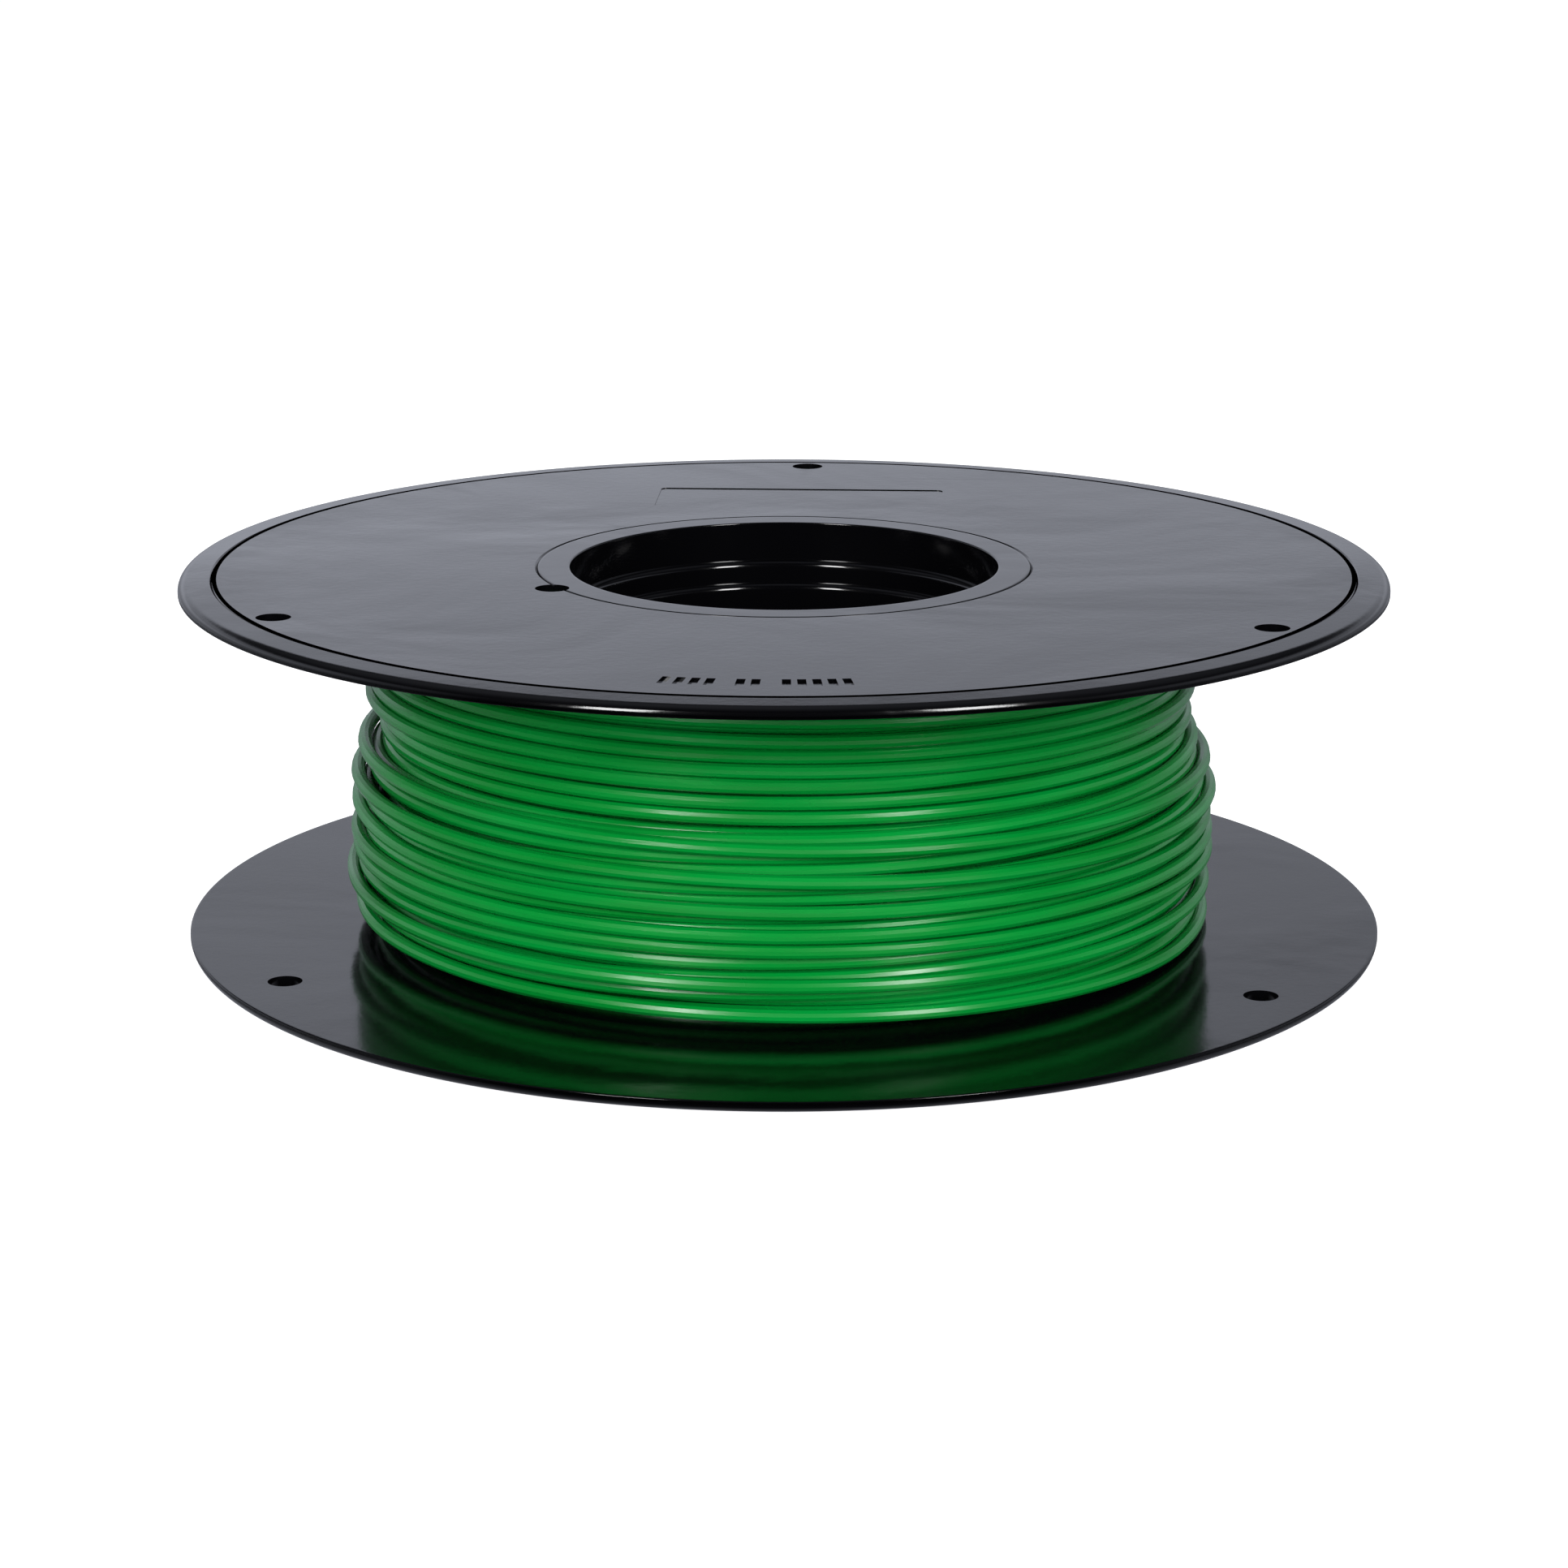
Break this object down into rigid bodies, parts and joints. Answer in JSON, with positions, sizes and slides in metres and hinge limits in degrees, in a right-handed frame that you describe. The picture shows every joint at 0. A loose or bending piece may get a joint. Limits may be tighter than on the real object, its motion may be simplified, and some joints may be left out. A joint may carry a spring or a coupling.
{
  "type": "filament spool",
  "caption": "Round spool with two thin flat flanges on a stepped hollow hub, wound with round plastic filament between them.",
  "frame": {"origin": "on the spool's axis, at the lower flange's outer face, which it rests on", "axes": "+Z along the spool's axis, up to the flange with the start hole on its left; +Y towards one of the three tuck holes"},
  "size_m": [0.15, 0.15, 0.0464],
  "materials": {
    "black_flange": "glossy moulded black plastic",
    "black_hub": "glossy moulded black plastic",
    "green_filament": "satin extruded green plastic"
  },
  "bodies": {
    "root": {"upper_flange": "black_flange", "lower_flange": "black_flange", "hub_tube": "black_hub", "hub_sleeve": "black_hub", "filament_inner_layers": "green_filament", "filament_outer_layers": "green_filament", "filament_outer_end": "green_filament"}
  },
  "joints": []
}
